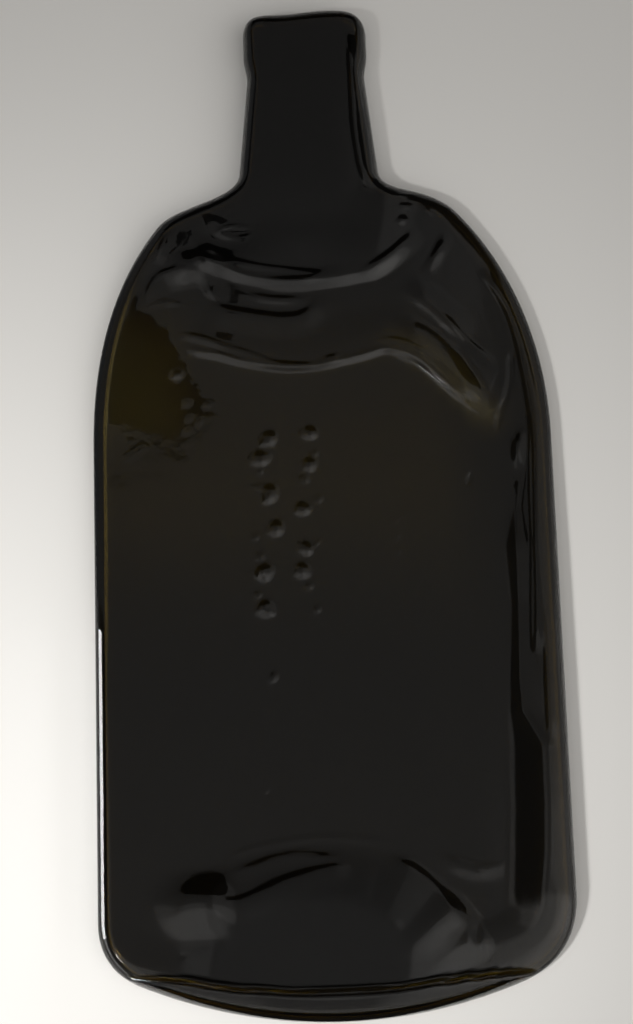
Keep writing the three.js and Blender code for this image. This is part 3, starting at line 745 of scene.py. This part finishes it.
# The glass itself, clear at its surface and dark olive through its thickness. Its surface is
# fire-polished, with faint ripples and a few smears.
class Wire:
    """A socket in a node tree that Python's signs work on"""

    def __init__(self, maker, socket):
        self.maker, self.socket = maker, socket

    def math(self, operation, *values):
        return self.maker.node("ShaderNodeMath", {"operation": operation}, values)["Value"]

    def __add__(self, other):
        return self.math("ADD", self, other)

    def __sub__(self, other):
        return self.math("SUBTRACT", self, other)

    def __rsub__(self, other):
        return self.math("SUBTRACT", other, self)

    def __mul__(self, other):
        return self.math("MULTIPLY", self, other)

    __radd__, __rmul__ = __add__, __mul__


class NodeMaker:
    """Adds nodes to one tree, each with its settings first and then its values and links"""

    def __init__(self, tree):
        self.tree = tree

    def node(self, kind, settings, values):
        made = self.tree.nodes.new(kind)
        for name, value in settings.items():
            setattr(made, name, value)
        sockets = made.inputs
        if isinstance(values, dict):
            sockets = {socket.name: socket for socket in made.inputs if socket.enabled}
        for name, value in values.items() if isinstance(values, dict) else enumerate(values):
            if isinstance(value, Wire):
                self.tree.links.new(value.socket, sockets[name])
            else:
                sockets[name].default_value = value
        return {output.name: Wire(self, output) for output in made.outputs if output.enabled}

    def step(self, value, low, high):
        """Rises smoothly from 0 where the value is low to 1 where it is high"""
        ends = {"Value": value, "From Min": low, "From Max": high}
        return self.node("ShaderNodeMapRange", {"interpolation_type": "SMOOTHSTEP"}, ends)["Result"]


glass_density = 1000.0
glass_colour = (0.515, 0.445, 0.08, 1)
polish, smear = 0.025, 0.05
glass_material = bpy.data.materials.new("olive_bottle_glass")
glass_material.use_nodes = True
glass_material.node_tree.nodes.clear()
make = NodeMaker(glass_material.node_tree)
position = make.node("ShaderNodeTexCoord", {}, {})["Object"]
noise = {"Vector": position, "Scale": 38.0, "Detail": 3.0, "Roughness": 0.55}
smears = make.node("ShaderNodeTexNoise", {}, noise)["Fac"]
roughness = polish + smear * make.step(smears, 0.45, 0.75)
ripple_noise = {"Vector": position, "Scale": 190.0, "Detail": 2.0}
ripples = make.node("ShaderNodeTexNoise", {}, ripple_noise)["Fac"]
bump = {"Strength": 0.25, "Distance": 0.0001, "Height": ripples}
surface = {
    "Base Color": (0.9, 0.9, 0.85, 1),
    "Roughness": roughness,
    "IOR": 1.52,
    "Transmission Weight": 1.0,
    "Normal": make.node("ShaderNodeBump", {}, bump)["Normal"],
}
absorption = {"Color": glass_colour, "Density": glass_density}
make.node("ShaderNodeOutputMaterial", {}, {
    "Surface": make.node("ShaderNodeBsdfPrincipled", {}, surface)["BSDF"],
    "Volume": make.node("ShaderNodeVolumeAbsorption", {}, absorption)["Volume"],
})
mesh.materials.append(glass_material)

# Blisters in the panel, where air was caught between the two sinking walls. They stand in rows down
# the middle of it, as low round swellings of the upper glass.
blister_inputs = {
    "First": ("NodeSocketVector", None),
    "Pitch": ("NodeSocketFloat", 0.0063),
    "Count": ("NodeSocketInt", 9),
    "Radius": ("NodeSocketFloat", 0.0024),
    "Height": ("NodeSocketFloat", 0.00035),
    "Unevenness": ("NodeSocketFloat", 0.0008),
    "Seed": ("NodeSocketInt", 1),
    "Glass": ("NodeSocketMaterial", None),
}
blister_rows = [
    {"First": (-0.0172, 0.0185, 0), "Count": 6, "Pitch": 0.0104, "Radius": 0.0034, "Height": 0.00062,
     "Unevenness": 0.0026, "Seed": 13},
    {"First": (-0.0190, 0.0150, 0), "Count": 9, "Pitch": 0.0066, "Radius": 0.0016, "Height": 0.00032,
     "Unevenness": 0.0026, "Seed": 6},
    {"First": (-0.0052, 0.0180, 0), "Count": 5, "Pitch": 0.0112, "Radius": 0.0032, "Height": 0.00058,
     "Unevenness": 0.0026, "Seed": 21},
    {"First": (-0.0036, 0.0130, 0), "Count": 8, "Pitch": 0.0067, "Radius": 0.0015, "Height": 0.0003,
     "Unevenness": 0.0026, "Seed": 4},
    {"First": (-0.0410, 0.0290, 0), "Count": 4, "Pitch": 0.0042, "Radius": 0.0015, "Height": 0.0002,
     "Unevenness": 0.0007, "Seed": 5},
    {"First": (0.0216, -0.0096, 0), "Count": 3, "Pitch": 0.0046, "Radius": 0.0013, "Height": 0.0002,
     "Unevenness": 0.0004, "Seed": 2},
]
lowest_of_top = 0.0055

blister_tree = bpy.data.node_groups.new("blister_row", "GeometryNodeTree")
interface = blister_tree.interface
interface.new_socket("Geometry", in_out="INPUT", socket_type="NodeSocketGeometry")
interface.new_socket("Geometry", in_out="OUTPUT", socket_type="NodeSocketGeometry")
blister_sockets = {
    name: interface.new_socket(name, in_out="INPUT", socket_type=kind)
    for name, (kind, _) in blister_inputs.items()
}
make = NodeMaker(blister_tree)
given = make.node("NodeGroupInput", {}, {})
down_the_panel = make.node("ShaderNodeCombineXYZ", {}, {"Y": given["Pitch"] * -1})["Vector"]
row = make.node("GeometryNodeMeshLine", {"mode": "OFFSET"}, {
    "Count": given["Count"], "Start Location": given["First"], "Offset": down_the_panel,
})["Mesh"]
across_and_along = [
    make.node("FunctionNodeRandomValue", {"data_type": "FLOAT"}, {
        "Min": given["Unevenness"] * -1, "Max": given["Unevenness"], "Seed": given["Seed"] + offset,
    })["Value"]
    for offset in (0, 50)
]
uneven = make.node("ShaderNodeCombineXYZ", {}, across_and_along)["Vector"]
row = make.node("GeometryNodeSetPosition", {}, {"Geometry": row, "Offset": uneven})["Geometry"]
corner = make.node("GeometryNodeInputPosition", {}, {})["Position"]
corner_parts = make.node("ShaderNodeSeparateXYZ", {}, {"Vector": corner})
on_plan = make.node("ShaderNodeCombineXYZ", {}, [corner_parts["X"], corner_parts["Y"]])["Vector"]
away = make.node("GeometryNodeProximity", {"target_element": "POINTS"}, {
    "Geometry": row, "Sample Position": on_plan,
})["Distance"]
unlike = make.node("ShaderNodeTexNoise", {}, {"Vector": on_plan, "Scale": 140.0})["Fac"]
share = away.math("DIVIDE", away, given["Radius"] * (0.1 + 1.8 * unlike))
falling = away.math("MAXIMUM", 1 - share * share, 0)
on_top = away.math("GREATER_THAN", corner_parts["Z"], lowest_of_top)
lift = given["Height"] * falling * falling * on_top
raised = make.node("ShaderNodeCombineXYZ", {}, {"Z": lift})["Vector"]
geometry = make.node("GeometryNodeSetPosition", {}, {
    "Geometry": given["Geometry"], "Offset": raised,
})["Geometry"]
geometry = make.node("GeometryNodeRealizeInstances", {}, {"Geometry": geometry})["Geometry"]
geometry = make.node("GeometryNodeSetMaterial", {}, {
    "Geometry": geometry, "Material": given["Glass"],
})["Geometry"]
make.node("NodeGroupOutput", {}, {"Geometry": geometry})

for number, values in enumerate(blister_rows):
    blisters = bottle.modifiers.new("blister_row_%d" % number, "NODES")
    blisters.node_group = blister_tree
    for name, (_, usual) in blister_inputs.items():
        blisters[blister_sockets[name].identifier] = values.get(name, usual)
    blisters[blister_sockets["Glass"].identifier] = glass_material
evaluated = bottle.evaluated_get(bpy.context.evaluated_depsgraph_get())
blistered = bpy.data.meshes.new_from_object(evaluated)
bottle.modifiers.clear()
bottle.data = blistered
blistered.name = "bottle"

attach(bottle, "root")
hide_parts("upper_half", "lower_half", "base", "lip")

# The floor is a plain pale sheet, a hair below the glass, which rests on it
floor_half = 3.0
floor_drop = 0.0003
floor_corners = [(-1, -1), (1, -1), (1, 1), (-1, 1)]
floor_mesh = bpy.data.meshes.new("floor")
floor_points = [(x * floor_half, y * floor_half, -floor_drop) for x, y in floor_corners]
floor_mesh.from_pydata(floor_points, [], [(0, 1, 2, 3)])
floor = bpy.data.objects.new("floor", floor_mesh)
bpy.context.scene.collection.objects.link(floor)
floor_material = bpy.data.materials.new("pale_floor")
floor_material.use_nodes = True
floor_material.node_tree.nodes.clear()
make = NodeMaker(floor_material.node_tree)
paper = {"Base Color": (0.82, 0.81, 0.79, 1), "Roughness": 0.9}
make.node("ShaderNodeOutputMaterial", {}, {
    "Surface": make.node("ShaderNodeBsdfPrincipled", {}, paper)["BSDF"],
})
floor_mesh.materials.append(floor_material)

# The camera looks at the tray from nearly above, with the neck away from it. Its place and its lens
# were matched to the tray's outline.
elevation = math.radians(77)
roll = math.radians(-1.8)
distance = 0.700
aim = Vector((-0.00245, -0.00475, 0))
sensor_height = 24.0
lens = 53.85
place = aim + distance * Vector((0, -math.cos(elevation), math.sin(elevation)))
ahead = (aim - place).normalized()
level_right = Vector((1, 0, 0))
level_up = level_right.cross(ahead)
right = math.cos(roll) * level_right + math.sin(roll) * level_up
up = math.cos(roll) * level_up - math.sin(roll) * level_right
camera_data = bpy.data.cameras.new("camera")
camera_data.sensor_fit = "VERTICAL"
camera_data.sensor_height = sensor_height
camera_data.lens = lens
camera_data.clip_start = 0.01
camera = bpy.data.objects.new("camera", camera_data)
bpy.context.scene.collection.objects.link(camera)
camera.matrix_world = Matrix.Translation(place) @ Matrix((right, up, -ahead)).transposed().to_4x4()
bpy.context.scene.camera = camera

# Cards that only the glass reflects. A dark one at the upper left lets the olive of the left shoulder
# show, a grey one keeps the left edge pale, and two low bright strips close to the left rim draw the
# line along it. The dark one on the floor in front of the base end is painted shadow: it stands in for
# the shaded floor there, which the glass shows in its reflections and through itself, and it draws
# the outline of the end.
upper_left = rounded_line([
    (-155, 225), (-125, 212), (-106, 206), (-90, 203), (-88, 215), (-92, 238), (-98, 258),
    (-114, 276), (-138, 276), (-155, 255), (-155, 225),
])
upper_left_height = 0.70
upper_left = [Vector((x * MILLIMETRE, y * MILLIMETRE, upper_left_height)) for x, y in upper_left[:-1]]
pale_x, pale_y, pale_z = -0.120, (-0.020, 0.32), (0.0, 0.10)
strip_x, strip_y, strip_z = -0.080, (-0.133, -0.038), (0.009, 0.017)
duller_y, duller_z = (-0.165, -0.133), (0.010, 0.015)
end_corners = [(-0.09, -0.21), (0.09, -0.21), (0.09, -0.158), (-0.09, -0.158)]
# Corners of the dark floor card in front of the base end, a painted shadow of the floor there
floor_shadow_corners = [Vector((x, y, 0.001)) for x, y in end_corners]


def standing(x, y, z):
    """The corners of an upright card that faces across the tray"""
    return [Vector((x, y[a], z[b])) for a, b in ((0, 0), (1, 0), (1, 1), (0, 1))]


def reflected_card(name, corners, light, through_glass=False):
    """A flat card that gives off an even light, and that only reflections or the glass show"""
    card_mesh = bpy.data.meshes.new(name)
    card_mesh.from_pydata(corners, [], [tuple(range(len(corners)))])
    card = bpy.data.objects.new(name, card_mesh)
    bpy.context.scene.collection.objects.link(card)
    material = bpy.data.materials.new(name)
    material.use_nodes = True
    material.node_tree.nodes.clear()
    make = NodeMaker(material.node_tree)
    glow = {"Color": (1, 1, 1, 1), "Strength": light}
    make.node("ShaderNodeOutputMaterial", {}, {
        "Surface": make.node("ShaderNodeEmission", {}, glow)["Emission"],
    })
    card_mesh.materials.append(material)
    card.visible_camera = False
    card.visible_diffuse = False
    card.visible_transmission = through_glass
    card.visible_volume_scatter = False
    card.visible_shadow = False


# Painted shadow: a dark card on the floor before the base end, seen only in and through the glass
reflected_card("painted_floor_shadow", floor_shadow_corners, 0.02, through_glass=True)
reflected_card("card_upper_left", upper_left, 0.05)
reflected_card("pale_card", standing(pale_x, pale_y, pale_z), 0.20)
reflected_card("bright_strip", standing(strip_x, strip_y, strip_z), 16.0)
reflected_card("duller_strip", standing(strip_x, duller_y, duller_z), 2.5)

# The room: a ceiling that darkens away from the camera, dark walls on the left and beyond the neck,
# brighter ones at the lower right and close by, and a plain pale backdrop for the camera
world = bpy.data.worlds.new("studio")
bpy.context.scene.world = world
world.use_nodes = True
world.node_tree.nodes.clear()
make = NodeMaker(world.node_tree)
direction = make.node("ShaderNodeTexCoord", {}, {})["Generated"]
parts = make.node("ShaderNodeSeparateXYZ", {}, {"Vector": direction})
to_right, to_neck, upward = parts["X"], parts["Y"], parts["Z"]


def towards(azimuth, tilt, outer, inner):
    """1 within an angle of a direction that is tilted from straight up, and 0 outside a larger one"""
    a, b = math.radians(azimuth), math.radians(tilt)
    way = (math.sin(b) * math.cos(a), math.sin(b) * math.sin(a), math.cos(b))
    dot = make.node("ShaderNodeVectorMath", {"operation": "DOT_PRODUCT"}, [direction, way])["Value"]
    return make.step(dot, math.cos(math.radians(outer)), math.cos(math.radians(inner)))


clamped = make.node("ShaderNodeClamp", {}, {"Value": to_neck, "Min": -0.2, "Max": 0.6})["Result"]
far_wall = make.step(to_neck + 0.15 * make.step(to_right, 0.0, 0.6), 0.49, 0.52)
far_wall = far_wall * make.step(to_neck, 0.92, 0.84)
far_wall = far_wall * make.step(to_right, 0.72, 0.62)
ceiling = 0.31 - 0.30 * clamped
lit_wall = 0.35 * towards(-35, 58, 40, 12)
near_wall = 0.28 * make.step(to_neck, 0.0, -0.13) * make.step(to_neck, -0.62, -0.48)
right_wall = 0.12 * make.step(to_right, 0.08, 0.20)
near_right = 0.22 * make.step(to_right, 0.065, 0.14) * make.step(to_neck, 0.15, 0.08)
near_left = 0.16 * make.step(to_right, -0.15, -0.24) * make.step(to_right, -0.50, -0.40)
near_left = near_left * make.step(to_neck, 0.18, 0.08)
dark_wall = make.step(to_right, -0.42, -0.52) * make.step(to_neck, -0.75, -0.45)
dark_wall = dark_wall * make.step(to_right, -0.95, -0.88)
side_light = right_wall + near_right + near_left
light = ceiling + lit_wall + near_wall + side_light
light = light * (1 - 0.75 * dark_wall) * (1 - 0.85 * far_wall)
path = make.node("ShaderNodeLightPath", {}, {})
in_glass = make.node("ShaderNodeMath", {"operation": "MAXIMUM"}, [
    path["Is Glossy Ray"], path["Is Transmission Ray"],
])["Value"]
low_in_glass = in_glass * make.step(upward, 0.10, 0.02)
backdrop_seen = make.node("ShaderNodeMath", {"operation": "MAXIMUM"}, [
    path["Is Camera Ray"], low_in_glass,
])["Value"]
backdrop = {"Factor": backdrop_seen, "A": light, "B": 0.8}
strength = make.node("ShaderNodeMix", {}, backdrop)["Result"]
make.node("ShaderNodeOutputWorld", {}, {
    "Surface": make.node("ShaderNodeBackground", {}, {
        "Color": (1.0, 0.98, 0.95, 1),
        "Strength": strength,
    })["Background"],
})

# The key lamp is a soft spot from the left of the base, which leaves the right side duller
key = bpy.data.lights.new("key", "SPOT")
key.energy = 75.0
key.spot_size = math.radians(22)
key.spot_blend = 1.0
key.shadow_soft_size = 0.12
key.color = (1.0, 0.99, 0.97)
key_lamp = bpy.data.objects.new("key", key)
bpy.context.scene.collection.objects.link(key_lamp)
key_place, key_target = Vector((-0.75, -0.55, 1.1)), Vector((-0.13, -0.14, 0))
key_turn = (key_target - key_place).to_track_quat("-Z", "Y").to_matrix().to_4x4()
key_lamp.matrix_world = Matrix.Translation(key_place) @ key_turn
key_lamp.visible_glossy = False

bpy.context.scene.view_settings.view_transform = "Standard"
